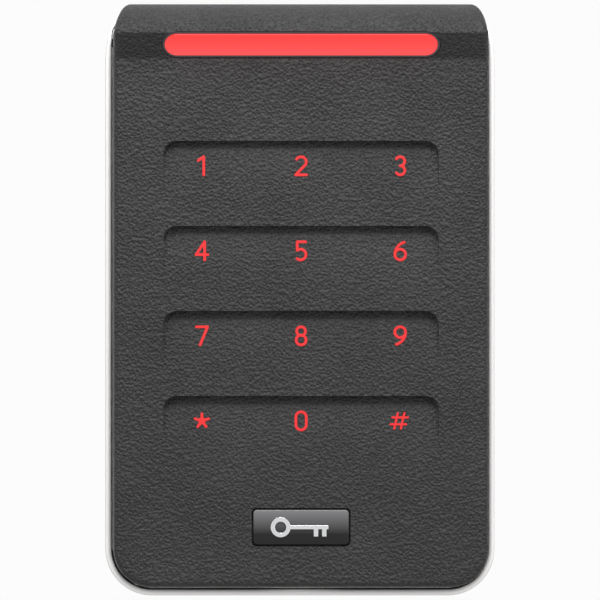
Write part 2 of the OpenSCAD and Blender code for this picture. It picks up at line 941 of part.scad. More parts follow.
module lock_washer() {
    color([0.72, 0.73, 0.74])
        translate([0, -screw_d, head_top])
            difference() {
                cylinder(h = washer_t, r = washer_r);
                translate([0, 0, -cut]) cylinder(h = washer_t + 2 * cut, r = screw_r + 0.1);
            }
}

module security_screw() {
    color([0.72, 0.73, 0.74])
        translate([0, -screw_d, head_top])
            difference() {
                union() {
                    translate([0, 0, -screw_head_h]) cylinder(h = screw_head_h, r = screw_head_r);
                    translate([0, 0, -eps])
                        cylinder(h = insert_base + insert_h - head_top - 0.5, r = screw_r);
                }
                // Six-sided socket with a centre pin
                difference() {
                    translate([0, 0, -screw_head_h - cut]) cylinder(h = cut + 1.2, r = 1.3, $fn = 6);
                    translate([0, 0, -screw_head_h - 2 * cut]) cylinder(h = 4 * cut, r = 0.4);
                }
            }
}

mounting_plate();
front_housing();
rear_cover();
housing_seal();
rear_cover_screws();
light_bar_lens();
light_bar_guide();
light_bar_board();
light_bar_lamps();
light_bar_connector();
for (key = ["1", "2", "3", "4", "5", "6", "7", "8", "9", "star", "0", "hash"])
    key_legend(key);
keypad_light_guide();
keypad_lamps();
touch_sensor_film();
touch_film_connector();
badge_plate();
badge_emblem();
main_board();
board_screws();
processor();
radio_chip();
radio_shield();
clock_crystal();
antenna_coil();
wireless_module();
buzzer();
tamper_sensor();
tamper_window();
power_inductor();
power_capacitors();
surge_diodes();
terminal_header();
terminal_pins();
terminal_plug();
terminal_screws();
terminal_clamps();
threaded_insert();
lock_washer();
security_screw();
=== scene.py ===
import json
import math

import bmesh
import bpy
import numpy as np
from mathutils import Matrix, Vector


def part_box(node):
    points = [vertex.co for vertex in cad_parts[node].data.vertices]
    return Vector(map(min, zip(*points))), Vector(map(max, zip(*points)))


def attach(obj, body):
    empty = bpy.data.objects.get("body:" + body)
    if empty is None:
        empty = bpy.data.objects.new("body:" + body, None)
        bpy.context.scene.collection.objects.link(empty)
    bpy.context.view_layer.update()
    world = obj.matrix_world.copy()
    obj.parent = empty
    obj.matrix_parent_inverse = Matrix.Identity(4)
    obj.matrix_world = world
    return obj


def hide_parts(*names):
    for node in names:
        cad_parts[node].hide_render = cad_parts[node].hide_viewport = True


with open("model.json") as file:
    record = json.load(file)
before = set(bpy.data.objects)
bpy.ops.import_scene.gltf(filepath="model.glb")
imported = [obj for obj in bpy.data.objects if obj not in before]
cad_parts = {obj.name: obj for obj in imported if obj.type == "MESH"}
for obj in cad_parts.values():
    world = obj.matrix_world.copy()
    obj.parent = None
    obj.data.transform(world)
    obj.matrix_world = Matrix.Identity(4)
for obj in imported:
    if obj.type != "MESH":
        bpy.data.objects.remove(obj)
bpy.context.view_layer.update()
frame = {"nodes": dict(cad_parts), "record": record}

MM = 0.001
nodes = frame["nodes"]

# ---- sizes, in millimetres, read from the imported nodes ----


def node_box(name):
    """Lowest and highest corners of a node in mm; depth is measured forward, so depth = -y."""
    low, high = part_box(name)
    return np.array(low) / MM, np.array(high) / MM


case_low, case_high = node_box("front_housing")
plate_low, plate_high = node_box("mounting_plate")
lens_low, lens_high = node_box("light_bar_lens")
badge_low, badge_high = node_box("badge_plate")

HALF_W = case_high[0]
TOP = case_high[2]
BOTTOM = case_low[2]
REAR = -case_high[1]
CREST = -case_low[1]
RISE = 3.0
FACE = CREST - RISE
CORNER = 7.7
EDGE = 1.15
SHOULDER_X = 2.5
SHOULDER_Z = 8.2
ROLL_R = 8.75
ROLL_Z = TOP - ROLL_R
CREST_Z = TOP - 5.85
SLOPE_Z = CREST_Z - 5.4
ROLL_D = CREST - math.sqrt(ROLL_R ** 2 - (CREST_Z - ROLL_Z) ** 2)
SLOPE_A = math.atan2(RISE, CREST_Z - SLOPE_Z)
LENS_Z = (CREST_Z + SLOPE_Z) / 2 + 0.05
LENS_D = FACE + RISE * (LENS_Z - SLOPE_Z) / (CREST_Z - SLOPE_Z)
LENS_W = lens_high[0] - lens_low[0]
LENS_H = 5.0
GROOVE = 0.5
BADGE_Z = (badge_low[2] + badge_high[2]) / 2
BADGE_W = badge_high[0] - badge_low[0]
BADGE_H = badge_high[2] - badge_low[2]
SCOOP_W = 56.5
SCOOP_RUN = 12.0
SCOOP_DEPTH = 1.4
FIRST_STEP = TOP - 28.1
ROW_PITCH = 17.45
STEPS = [FIRST_STEP - ROW_PITCH * row for row in range(4)]
SCOOP_FACETS = np.array([0, 0.24, 0.62, 1.0])
LEAN_Z = TOP - 6.75
LEAN = 1.5
POCKET_W = 15.0
POCKET_D = 11.8
POCKET_TOP = BOTTOM + 6.1
SCOOP_CORNER = 3.0      # round corners of a scoop's outline
OUTLINE_HALF_H = 60     # half height of the outline box, enough to leave the top open
CASE_GAP = 0.3          # between the case's side and the plate's rim
RECESS_GAP = 0.3        # between the badge and its recess
RECESS_CORNER = 1.0
RECESS_DEPTH = 0.9
GROOVE_DEPTH = 1.1
RIM_HEIGHT = 4.2        # the rim's height from the wall
RIM_LOW = 2.25          # the rim's height where it runs under the case
RIM_W = 1.5
RIM_W_LEAST = 0.35

# Kinds of row in the case's side profile
TOP_ROW, ARC_ROW, SLOPE_ROW, FACE_ROW, UNDER_ROW = range(5)
OFF_SLOPE = -99         # slope offset of a row that isn't on the slope
FAR_INSIDE = 9.0        # distance from the outline that gets no rounded edge

# ---- camera and light ----


def aim(obj, target):
    """Turns an object so that its -Z looks at a point."""
    obj.rotation_euler = (Vector(target) - obj.location).to_track_quat("-Z", "Y").to_euler()


def make_camera():
    """Long-lens camera a little to the left, framed on the reader's height; sizes in metres."""
    data = bpy.data.cameras.new("camera")
    distance = 6.0
    to_the_left = 0.095
    frame_width = 0.1235
    look_at = (0, -0.004, 0)
    data.sensor_width = 36
    data.lens = data.sensor_width * distance / frame_width
    cam = bpy.data.objects.new("camera", data)
    bpy.context.scene.collection.objects.link(cam)
    cam.location = (-to_the_left, -distance, 0.0)
    aim(cam, look_at)
    data.clip_start = 0.01
    bpy.context.scene.camera = cam


make_camera()


def area_light(name, place, target, size, power):
    """White softbox of size (width, height) in metres, aimed at a point."""
    data = bpy.data.lights.new(name, "AREA")
    data.shape = "RECTANGLE"
    data.size, data.size_y = size
    data.energy = power
    lamp = bpy.data.objects.new(name, data)
    bpy.context.scene.collection.objects.link(lamp)
    lamp.location = place
    aim(lamp, target)


def make_stage():
    """White surround: an even backdrop far behind, two softboxes above the reader and one at each side."""
    half, behind = 10, 8
    verts = [(-half, behind, -half), (half, behind, -half), (half, behind, half), (-half, behind, half)]
    mesh = bpy.data.meshes.new("backdrop")
    mesh.from_pydata(verts, [], [(0, 1, 2, 3)])
    obj = bpy.data.objects.new("backdrop", mesh)
    bpy.context.scene.collection.objects.link(obj)
    mat = bpy.data.materials.new("white_backdrop")
    mat.use_nodes = True
    shader = mat.node_tree.nodes["Principled BSDF"]
    shader.inputs["Base Color"].default_value = (0, 0, 0, 1)
    shader.inputs["Specular IOR Level"].default_value = 0
    shader.inputs["Emission Color"].default_value = (1, 1, 1, 1)
    shader.inputs["Emission Strength"].default_value = 0.97
    mesh.materials.append(mat)

    world = bpy.data.worlds.new("studio")
    bpy.context.scene.world = world
    world.use_nodes = True
    background = world.node_tree.nodes["Background"]
    background.inputs["Color"].default_value = (1, 1, 1, 1)
    background.inputs["Strength"].default_value = 0.72
    area_light("key_softbox", (0, -0.16, 0.24), (0, 0, 0.02), (0.3, 0.07), 0.72)
    area_light("overhead_softbox", (0, -0.3, 0.7), (0, 0, 0.03), (0.9, 0.4), 4)
    area_light("left_softbox", (-0.75, -0.4, 0.1), (0, 0, 0), (0.25, 0.9), 1.2)
    area_light("right_softbox", (0.75, -0.4, 0.1), (0, 0, 0), (0.25, 0.9), 1.7)
    bpy.context.scene.view_settings.view_transform = "Standard"


make_stage()

# ---- mesh helpers ----


def add_piece(name, verts_mm, faces, material, body, smooth=True):
    """Makes a piece from (x, depth, z) points in mm; depth runs forward, so y = -depth."""
    points = np.asarray(verts_mm, float) * np.array([MM, -MM, MM])
    mesh = bpy.data.meshes.new(name)
    mesh.from_pydata(points.tolist(), [], faces if isinstance(faces, list) else faces.tolist())
    mesh.materials.append(material)
    obj = bpy.data.objects.new(name, mesh)
    bpy.context.scene.collection.objects.link(obj)
    clean(mesh)
    if smooth:
        shade_smooth(mesh, 38)
    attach(obj, body)
    return obj


def clean(mesh, distance=0.00001):
    """Merges doubles, drops collapsed faces and turns every face outwards."""
    work = bmesh.new()
    work.from_mesh(mesh)
    bmesh.ops.remove_doubles(work, verts=work.verts, dist=distance)
    bmesh.ops.dissolve_degenerate(work, edges=work.edges, dist=distance / 2)
    bmesh.ops.recalc_face_normals(work, faces=work.faces)
    work.to_mesh(mesh)
    work.free()


def shade_smooth(mesh, degrees):
    """Smooth shading with edges past an angle kept sharp."""
    mesh.polygons.foreach_set("use_smooth", np.ones(len(mesh.polygons), bool))
    mesh.set_sharp_from_angle(angle=math.radians(degrees))


def grid_faces(rows, cols, wrap=False):
    """Quads of a grid of points stored row by row; wrap closes each row on itself."""
    r = np.arange(rows - 1)[:, None]
    c = np.arange(cols if wrap else cols - 1)[None, :]
    nxt = (c + 1) % cols
    quads = np.stack([r * cols + c, r * cols + nxt, (r + 1) * cols + nxt, (r + 1) * cols + c], -1)
    return quads.reshape(-1, 4)


def merged_knots(*groups, closest=0.02):
    """Sorted union of several runs of numbers, with near repeats dropped."""
    values = np.sort(np.concatenate([np.atleast_1d(g) for g in groups]))
    keep = np.concatenate([[True], np.diff(values) > closest])
    return values[keep]


def ease(value):
    """Smooth ramp from 0 at 0 to 1 at 1, flat outside."""
    t = np.clip(value, 0, 1)
    return t * t * (3 - 2 * t)


def rounded_box_distance(x, y, half_w, half_h, radius):
    """Signed distance to a rectangle with round corners, negative inside."""
    dx = np.abs(x) - (half_w - radius)
    dy = np.abs(y) - (half_h - radius)
    outside = np.hypot(np.maximum(dx, 0), np.maximum(dy, 0))
    return outside + np.minimum(np.maximum(dx, dy), 0) - radius


def half_width(z):
    """Half width of the case at height z: straight sides, round feet and elliptical shoulders."""
    z = np.asarray(z, float)
    foot = np.clip((BOTTOM + CORNER - z) / CORNER, 0, 1)
    shoulder = np.clip((z - (TOP - SHOULDER_Z)) / SHOULDER_Z, 0, 1)
    return (HALF_W - CORNER * (1 - np.sqrt(1 - foot ** 2))
            - SHOULDER_X * (1 - np.sqrt(1 - shoulder ** 2)))


def rear_depth(z):
    """Depth of the case's rear edge, which leans forward near the top."""
    return REAR + LEAN * np.clip((z - LEAN_Z) / (TOP - LEAN_Z), 0, 1)


def scoop_floor(drop):
    """Depth of a scoop at a distance below its step: the CAD facets, softened a little."""
    t = np.clip(drop / SCOOP_RUN, 0, 1)
    facets = np.interp(t, SCOOP_FACETS, SCOOP_DEPTH * (1 - SCOOP_FACETS) ** 2)
    return facets * 0.75 + SCOOP_DEPTH * (1 - t) ** 2 * 0.25


# ---- case shell ----

# Knots either side of the badge recess's wall, from the badge's own edge
NEAR_RECESS = RECESS_GAP + np.array([-0.6, -0.3, -0.08, 0.0, 0.08, 0.3])


def case_profile():
    """Side profile of the case as rows of (depth, z, normal depth, normal z, slope offset, row kind).

    It runs from the rear of the top face, forward over the roll's arc, down the light bar's slope, down
    the flat face and back along the bottom face.
    """

    def rows(depth, z, normal_d, normal_z, offset, kind):
        return np.stack(np.broadcast_arrays(depth, z, normal_d, normal_z, offset, kind), 1).astype(float)

    back = np.linspace(0, 1, 14)
    top_d = rear_depth(TOP) + (ROLL_D - rear_depth(TOP)) * back
    top = rows(top_d, TOP, 0, 1, OFF_SLOPE, TOP_ROW)
    crest_angle = math.asin((CREST_Z - ROLL_Z) / ROLL_R)
    arc_a = np.linspace(math.pi / 2, crest_angle + 0.02, 26)[1:]
    arc = rows(ROLL_D + ROLL_R * np.cos(arc_a), ROLL_Z + ROLL_R * np.sin(arc_a),
               np.cos(arc_a), np.sin(arc_a), OFF_SLOPE, ARC_ROW)
    # Slope rows, by distance up the slope from the lens centre
    up = np.array([math.sin(SLOPE_A), math.cos(SLOPE_A)])
    out = np.array([math.cos(SLOPE_A), -math.sin(SLOPE_A)])
    reach_up = (CREST_Z - LENS_Z) / math.cos(SLOPE_A)
    reach_down = (LENS_Z - SLOPE_Z) / math.cos(SLOPE_A)
    slot_edge = LENS_H / 2 + GROOVE
    offsets = merged_knots(np.linspace(-reach_down, reach_up - 0.06, 26),
                           [slot_edge - 0.08, slot_edge + 0.02, -slot_edge - 0.02, -slot_edge + 0.08],
                           [reach_up])[::-1]
    slope = rows(LENS_D + up[0] * offsets, LENS_Z + up[1] * offsets, out[0], out[1], offsets, SLOPE_ROW)
    # Face rows, dense at each step, at the badge and at the bottom edge
    near_steps = [step + np.array([1.6, 0.8, 0.3, 0.1, 0.02, -0.06, -0.16, -0.3, -0.5, -0.8, -1.1, -1.4,
                                   -1.75, -2.1, -2.5, -3.0, -3.6]) for step in STEPS]
    badge = [BADGE_Z + side * (BADGE_H / 2 + NEAR_RECESS) for side in (-1, 1)]
    edge = BOTTOM + EDGE * (1 - np.cos(np.linspace(0, math.pi / 2, 8)))
    foot = BOTTOM + CORNER * (1 - np.cos(np.linspace(0, math.pi / 2, 14)))
    face_z = merged_knots(np.linspace(SLOPE_Z - 0.25, BOTTOM + CORNER, 96), *near_steps, *badge,
                          edge, foot)[::-1]
    face = rows(FACE, face_z, 1, 0, OFF_SLOPE, FACE_ROW)
    under_d = FACE - EDGE + (REAR - FACE + EDGE) * np.linspace(0, 1, 12)[1:]
    under = rows(under_d, BOTTOM, 0, -1, OFF_SLOPE, UNDER_ROW)
    return np.concatenate([top, arc, slope, face, under])


def soften_profile(profile, passes):
    """Rounds the crest and the foot of the slope by averaging neighbouring rows there."""
    p = profile.copy()
    kind = p[:, 5]
    middle = (kind > TOP_ROW) & (kind < UNDER_ROW) & (p[:, 1] > SLOPE_Z - 1.5)
    crest = np.abs(p[:, 1] - CREST_Z) < 0.5
    foot = np.abs(p[:, 1] - SLOPE_Z) < 0.9
    rows = np.where(middle & (crest | foot))[0]
    for _ in range(passes):
        blurred = p[:, :4].copy()
        blurred[rows] = (p[rows - 1, :4] + 2 * p[rows, :4] + p[rows + 1, :4]) / 4
        p[:, :4] = blurred
    p[:, 2:4] /= np.linalg.norm(p[:, 2:4], axis=1, keepdims=True)
    return p


def case_columns():
    """Places across the case as shares of its half width, dense at the edges, scoop sides and badge."""
    edge = 1 - EDGE / HALF_W * (1 - np.sin(np.linspace(0, math.pi / 2, 9)))
    sides = np.linspace(24.6, 29.4, 21)
    scoop_side = SCOOP_W / 2 + np.array([-0.3, -0.12, 0.0, 0.12])
    badge = BADGE_W / 2 + NEAR_RECESS
    half = merged_knots(np.arange(0.5, HALF_W - EDGE - 0.3, 1.15), sides, scoop_side, badge) / HALF_W
    half = merged_knots(half, edge, closest=0.0004)
    return np.concatenate([-half[::-1], [0], half])


def case_surface():
    """Case shell: each profile row is carried across the width, then sunk along its normal.

    The sinking is a rounded edge by distance from the outline, the four scoops, the light bar's groove
    and the badge's recess. Walls run straight back from the edge of every row.
    """
    profile = soften_profile(case_profile(), 3)
    share = case_columns()
    d, z, nd, nz, offset, kind = profile.T
    width = half_width(z)
    x = width[:, None] * share[None, :]
    z_grid = np.broadcast_to(z[:, None], x.shape)
    # Rounded edge: distance to the outline, with the top taken as open
    side = width[:, None] - np.abs(x)
    low = -rounded_box_distance(x, z_grid - (BOTTOM + OUTLINE_HALF_H), HALF_W, OUTLINE_HALF_H, CORNER)
    distance = np.where(z_grid < 0, low, side)
    distance = np.where((kind == UNDER_ROW)[:, None], FAR_INSIDE, distance)
    gap = np.clip(EDGE - distance, 0, EDGE)
    sink = EDGE - np.sqrt(np.maximum(EDGE ** 2 - gap ** 2, 0))
    is_face = (kind == FACE_ROW)[:, None]
    for step in STEPS:
        drop = step - z_grid
        side_gap = rounded_box_distance(x, drop - 20, SCOOP_W / 2, 20, SCOOP_CORNER)
        inside = ease(-side_gap / 0.16 + 0.1)
        sink = sink + np.where(is_face & (drop > -0.01) & (drop < SCOOP_RUN), scoop_floor(drop) * inside, 0)
    recess = rounded_box_distance(x, z_grid - BADGE_Z, BADGE_W / 2 + RECESS_GAP, BADGE_H / 2 + RECESS_GAP,
                                  RECESS_CORNER)
    sink = sink + np.where(is_face, RECESS_DEPTH * ease(-recess / 0.1 + 0.5), 0)
    slot = rounded_box_distance(x, np.broadcast_to(offset[:, None], x.shape), LENS_W / 2 + GROOVE,
                                LENS_H / 2 + GROOVE, LENS_H / 2 + GROOVE - 0.01)
    sink = sink + np.where((kind == SLOPE_ROW)[:, None], GROOVE_DEPTH * ease(-slot / 0.12 + 0.5), 0)
    front_d = d[:, None] - nd[:, None] * sink
    front_z = z_grid - nz[:, None] * sink
    # Walls back from each row's edge; on the top and bottom faces they fall on the edge itself
    walls = 14
    part = np.linspace(0, 1, walls)[:-1]
    edge_d, edge_z = front_d[:, :1], front_z[:, :1]
    wall_kind = (kind == TOP_ROW) | (kind == UNDER_ROW)
    back_d = np.where(wall_kind[:, None], edge_d, rear_depth(edge_z))
    wall_d = back_d + (edge_d - back_d) * part[None, :]
    wall_z = np.repeat(edge_z, walls - 1, 1)
    wall_x = np.repeat(-width[:, None], walls - 1, 1)
    all_x = np.concatenate([wall_x, x, -wall_x[:, ::-1]], 1)
    all_d = np.concatenate([wall_d, front_d, wall_d[:, ::-1]], 1)
    all_z = np.concatenate([wall_z, front_z, wall_z[:, ::-1]], 1)
    points = np.stack([all_x, all_d, all_z], -1)
    rows, cols = all_x.shape
    quads = grid_faces(rows, cols)
    # The screw pocket opens through the bottom face
    centre = points.reshape(-1, 3)[quads].mean(1)
    pocket = (np.abs(centre[:, 0]) < POCKET_W / 2) & (centre[:, 1] < POCKET_D) & (centre[:, 2] < BOTTOM + 0.4)
    return points.reshape(-1, 3), quads[~pocket]


def close_rear(mesh):
    """Turns the open rear edge inwards: the edge loop is carried in by the wall and then forward."""
    near_wall = -0.0068
    work = bmesh.new()
    work.from_mesh(mesh)
    for inset, forward in ((0.95, 0.0), (0.0, 1.6)):
        rim = [e for e in work.edges if e.is_boundary and all(v.co.y > near_wall for v in e.verts)]
        made = bmesh.ops.extrude_edge_only(work, edges=rim)["geom"]
        for v in [g for g in made if isinstance(g, bmesh.types.BMVert)]:
            v.co.x *= 1 - inset / HALF_W
            v.co.z = v.co.z * (1 - inset / TOP)
            v.co.y -= forward * MM
    bmesh.ops.recalc_face_normals(work, faces=work.faces)
    work.to_mesh(mesh)
    work.free()


# ---- generic shapes ----


def stadium_loop(half_w, half_h, count):
    """Points round a bar with full-round ends, by equal angle on the ends."""
    a = np.linspace(-math.pi / 2, math.pi / 2, count)
    right = np.stack([half_w - half_h + half_h * np.cos(a), half_h * np.sin(a)], 1)
    run = np.linspace(1, -1, 26)[1:-1] * (half_w - half_h)
    top = np.stack([run, run * 0 + half_h], 1)
    return np.concatenate([right, top, -right, -top])


def rounded_loop(half_w, half_h, radius, count=9):
    """Points round a rectangle with round corners."""
    a = np.linspace(0, math.pi / 2, count)
    arc = np.stack([np.cos(a), np.sin(a)], 1) * radius
    turns = []
    for quarter, (sx, sz) in enumerate(((1, 1), (-1, 1), (-1, -1), (1, -1))):
        c, s = math.cos(quarter * math.pi / 2), math.sin(quarter * math.pi / 2)
        turned = np.stack([arc[:, 0] * c - arc[:, 1] * s, arc[:, 0] * s + arc[:, 1] * c], 1)
        turns.append(turned + np.array([sx * (half_w - radius), sz * (half_h - radius)]))
    return np.concatenate(turns)


def pillow(loop, section):
    """Closed cap: an outline shrunk by each section's inset and raised to its height, ring by ring.

    section is a list of (inset, height). One flat face closes the first ring and one the last.
    """
    reach = np.abs(loop).max(0)
    rings = []
    for inset, height in section:
        shrink = 1 - inset / reach
        rings.append(np.concatenate([loop * shrink, np.full((len(loop), 1), height)], 1))
    rows, cols = len(rings), len(loop)
    faces = [list(map(int, q)) for q in grid_faces(rows, cols, wrap=True)]
    faces.append(list(range(cols))[::-1])
    faces.append([(rows - 1) * cols + i for i in range(cols)])
    return np.concatenate(rings), faces


def on_slope(points):
    """Carries (across, up the slope, out) points onto the light bar's slope."""
    x, up, out = points.T
    depth = LENS_D + up * math.sin(SLOPE_A) + out * math.cos(SLOPE_A)
    z = LENS_Z + up * math.cos(SLOPE_A) - out * math.sin(SLOPE_A)
    return np.stack([x, depth, z], 1)


def swept_rim():
    """Plate rim: a bullnose section carried round the plate's outline.

    The section's width is the gap between the plate's outline and the case, and where the plate runs
    under the case the section sinks to the web's thickness.
    """
    half_w, low, high = plate_high[0], plate_low[2], plate_high[2]
    radius = CORNER + 1.85
    shoulder_w, shoulder_h = 3.0, 8.7
    a = np.linspace(0, math.pi / 2, 28)
    side_z = np.linspace(low + radius, high - shoulder_h, 60)
    foot = np.stack([half_w - radius + radius * np.sin(a), low + radius - radius * np.cos(a)], 1)
    side = np.stack([side_z * 0 + half_w, side_z], 1)[1:-1]
    shoulder = np.stack([half_w - shoulder_w + shoulder_w * np.cos(a),
                         high - shoulder_h + shoulder_h * np.sin(a)], 1)
    top = np.stack([np.linspace(half_w - shoulder_w, 0, 20)[1:], np.full(19, high)], 1)
    under = np.stack([np.linspace(0, half_w - radius, 20)[:-1], np.full(19, low)], 1)
    right = np.concatenate([under, foot, side, shoulder, top])
    left = right[1:-1][::-1] * np.array([-1, 1])
    loop = np.concatenate([right, left])
    ahead = np.roll(loop, -1, 0) - np.roll(loop, 1, 0)
    inward = np.stack([-ahead[:, 1], ahead[:, 0]], 1)
    inward /= np.linalg.norm(inward, axis=1, keepdims=True)
    case_edge = HALF_W + CASE_GAP
    z = loop[:, 1]
    beyond = np.abs(loop[:, 0]) - (half_width(np.clip(z, BOTTOM, TOP)) + CASE_GAP)
    below = (BOTTOM - CASE_GAP) - z
    in_foot = z < low + radius
    width = np.where(in_foot, half_w - case_edge, np.maximum(beyond, below))
    width = np.clip(width, RIM_W_LEAST, RIM_W)
    rise = ease((width - RIM_W_LEAST) / 0.5)
    height = RIM_LOW + (RIM_HEIGHT - RIM_LOW) * rise
    t = np.linspace(0, math.pi, 11)
    section = [(0.15, 0.03), (0.0, 0.2), (0.0, 1.2)]
    rings = [np.concatenate([loop + inward * inset, np.full((len(loop), 1), depth)], 1)
             for inset, depth in section]
    for angle in t:
        inset = width / 2 * (1 - math.cos(angle))
        depth = height - width / 2 + width / 2 * math.sin(angle)
        rings.append(np.concatenate([loop + inward * inset[:, None], depth[:, None]], 1))
    rings.append(np.concatenate([loop + inward * width[:, None], np.full((len(loop), 1), 2.1)], 1))
    rings.append(np.concatenate([loop + inward * 1.6, np.full((len(loop), 1), 0.03)], 1))
    rings = np.stack(rings + [rings[0]])
    rows, cols = rings.shape[:2]
    points = rings.reshape(-1, 3)[:, [0, 2, 1]]
    return points, grid_faces(rows, cols, wrap=True)


def copy_of_node(name, new_name, material, keep=None, shift=0.0, bevel=0.0):
    """Merged copy of a CAD node, shifted forward by shift mm, with chosen faces kept and edges bevelled."""
    mesh = nodes[name].data.copy()
    mesh.name = new_name
    obj = bpy.data.objects.new(new_name, mesh)
    bpy.context.scene.collection.objects.link(obj)
    work = bmesh.new()
    work.from_mesh(mesh)
    bmesh.ops.remove_doubles(work, verts=work.verts, dist=0.000002)
    if keep is not None:
        drop = [f for f in work.faces if not keep(f)]
        bmesh.ops.delete(work, geom=drop, context="FACES")
    bmesh.ops.dissolve_limit(work, angle_limit=math.radians(1.0), verts=work.verts, edges=work.edges)
    for v in work.verts:
        v.co.y -= shift * MM
    work.to_mesh(mesh)
    work.free()
    mesh.materials.clear()
    mesh.materials.append(material)
    shade_smooth(mesh, 30)
    if bevel:
        rounding = obj.modifiers.new("edge_rounding", "BEVEL")
        rounding.width = bevel * MM
        rounding.segments = 3
        rounding.limit_method = "ANGLE"
        rounding.angle_limit = math.radians(35)
        rounding.harden_normals = True
    return obj


# ---- shader groups ----


def new_group(name, inputs, outputs):
    """Empty shader node group with named inputs and outputs; returns it with its two end nodes."""
    group = bpy.data.node_groups.new(name, "ShaderNodeTree")
    for label, kind, value in inputs:
        socket = group.interface.new_socket(label, in_out="INPUT", socket_type=kind)
        socket.default_value = value
    for label, kind in outputs:
        group.interface.new_socket(label, in_out="OUTPUT", socket_type=kind)
    return group, group.nodes.new("NodeGroupInput"), group.nodes.new("NodeGroupOutput")


def add(tree, kind, **settings):
    made = tree.nodes.new(kind)
    for key, value in settings.items():
        setattr(made, key, value)
    return made


FLOAT = "NodeSocketFloat"


def make_grain_group():
    """Moulded pebble grain: warped cell distances mixed with fine noise, as a height."""
    group, given, result = new_group(
        "moulded_grain",
        [("Cells per metre", FLOAT, 1500.0), ("Fine per metre", FLOAT, 5200.0), ("Fine share", FLOAT, 0.35)],
        [("Height", FLOAT)])
    link = group.links.new
    place = add(group, "ShaderNodeTexCoord")
    cells = add(group, "ShaderNodeTexVoronoi", feature="SMOOTH_F1")
    cells.inputs["Smoothness"].default_value = 0.6
    cells.inputs["Randomness"].default_value = 1.0
    fine = add(group, "ShaderNodeTexNoise")
    fine.inputs["Detail"].default_value = 3.0
    warp = add(group, "ShaderNodeTexNoise")
    warp.inputs["Scale"].default_value = 420.0
    shifted = add(group, "ShaderNodeVectorMath", operation="MULTIPLY_ADD")
    shifted.inputs[1].default_value = (0.0006, 0.0006, 0.0006)
    mix = add(group, "ShaderNodeMix", data_type="FLOAT")
    link(place.outputs["Object"], warp.inputs["Vector"])
    link(warp.outputs["Color"], shifted.inputs[0])
    link(place.outputs["Object"], shifted.inputs[2])
    link(shifted.outputs["Vector"], cells.inputs["Vector"])
    link(place.outputs["Object"], fine.inputs["Vector"])
    link(given.outputs["Cells per metre"], cells.inputs["Scale"])
    link(given.outputs["Fine per metre"], fine.inputs["Scale"])
    link(given.outputs["Fine share"], mix.inputs["Factor"])
    link(cells.outputs["Distance"], mix.inputs[2])
    link(fine.outputs["Fac"], mix.inputs[3])
    link(mix.outputs[0], result.inputs["Height"])
    return group


def make_wear_group():
    """Handling wear: slow noise for colour drift, and a mask on bent edges from pointiness."""
    group, given, result = new_group(
        "handling_wear",
        [("Drift per metre", FLOAT, 60.0), ("Edge start", FLOAT, 0.53), ("Edge end", FLOAT, 0.62)],
        [("Drift", FLOAT), ("Edge", FLOAT)])
    link = group.links.new
    place = add(group, "ShaderNodeTexCoord")
    slow = add(group, "ShaderNodeTexNoise")
    slow.inputs["Detail"].default_value = 4.0
    shape = add(group, "ShaderNodeNewGeometry")
    ramp = add(group, "ShaderNodeMapRange")
    link(place.outputs["Object"], slow.inputs["Vector"])
    link(given.outputs["Drift per metre"], slow.inputs["Scale"])
    link(shape.outputs["Pointiness"], ramp.inputs["Value"])
    link(given.outputs["Edge start"], ramp.inputs["From Min"])
    link(given.outputs["Edge end"], ramp.inputs["From Max"])
    link(slow.outputs["Fac"], result.inputs["Drift"])
    link(ramp.outputs["Result"], result.inputs["Edge"])
    return group


GRAIN = make_grain_group()
WEAR = make_wear_group()


def finish_material(name, dark, light, rough, metal=0.0, cells=1500.0, fine=5200.0, fine_share=0.35,
                    bump=0.1, bump_mm=0.05, coat=0.0, edge=None, settings=None):
    """One surface finish: two tones mixed by drift, grain for bump and roughness, optional worn edge."""
    mat = bpy.data.materials.new(name)
    mat.use_nodes = True
    tree = mat.node_tree
    link = tree.links.new
    shader = tree.nodes["Principled BSDF"]
    grain = add(tree, "ShaderNodeGroup", node_tree=GRAIN)
    grain.inputs["Cells per metre"].default_value = cells
    grain.inputs["Fine per metre"].default_value = fine
    grain.inputs["Fine share"].default_value = fine_share
    wear = add(tree, "ShaderNodeGroup", node_tree=WEAR)
    wear.inputs["Drift per metre"].default_value = 60.0
    tones = add(tree, "ShaderNodeMix", data_type="RGBA")
    tones.inputs[6].default_value = (*dark, 1)
    tones.inputs[7].default_value = (*light, 1)
    blend = add(tree, "ShaderNodeMath", operation="MULTIPLY_ADD")
    blend.inputs[1].default_value = 0.5
    link(wear.outputs["Drift"], blend.inputs[0])
    grain_part = add(tree, "ShaderNodeMath", operation="MULTIPLY")
    grain_part.inputs[1].default_value = 0.6
    link(grain.outputs["Height"], grain_part.inputs[0])
    link(grain_part.outputs[0], blend.inputs[2])
    link(blend.outputs[0], tones.inputs["Factor"])
    colour = tones.outputs[2]
    if edge:
        worn = add(tree, "ShaderNodeMix", data_type="RGBA")
        worn.inputs[7].default_value = (*edge, 1)
        link(colour, worn.inputs[6])
        link(wear.outputs["Edge"], worn.inputs["Factor"])
        colour = worn.outputs[2]
    link(colour, shader.inputs["Base Color"])
    roughness = add(tree, "ShaderNodeMapRange")
    roughness.inputs["To Min"].default_value = rough[0]
    roughness.inputs["To Max"].default_value = rough[1]
    link(grain.outputs["Height"], roughness.inputs["Value"])
    link(roughness.outputs["Result"], shader.inputs["Roughness"])
    relief = add(tree, "ShaderNodeBump")
    relief.inputs["Strength"].default_value = bump
    relief.inputs["Distance"].default_value = bump_mm * MM
    link(grain.outputs["Height"], relief.inputs["Height"])
    link(relief.outputs["Normal"], shader.inputs["Normal"])
    shader.inputs["Metallic"].default_value = metal
    shader.inputs["Coat Weight"].default_value = coat
    for socket, value in (settings or {}).items():
        shader.inputs[socket].default_value = value
    return mat


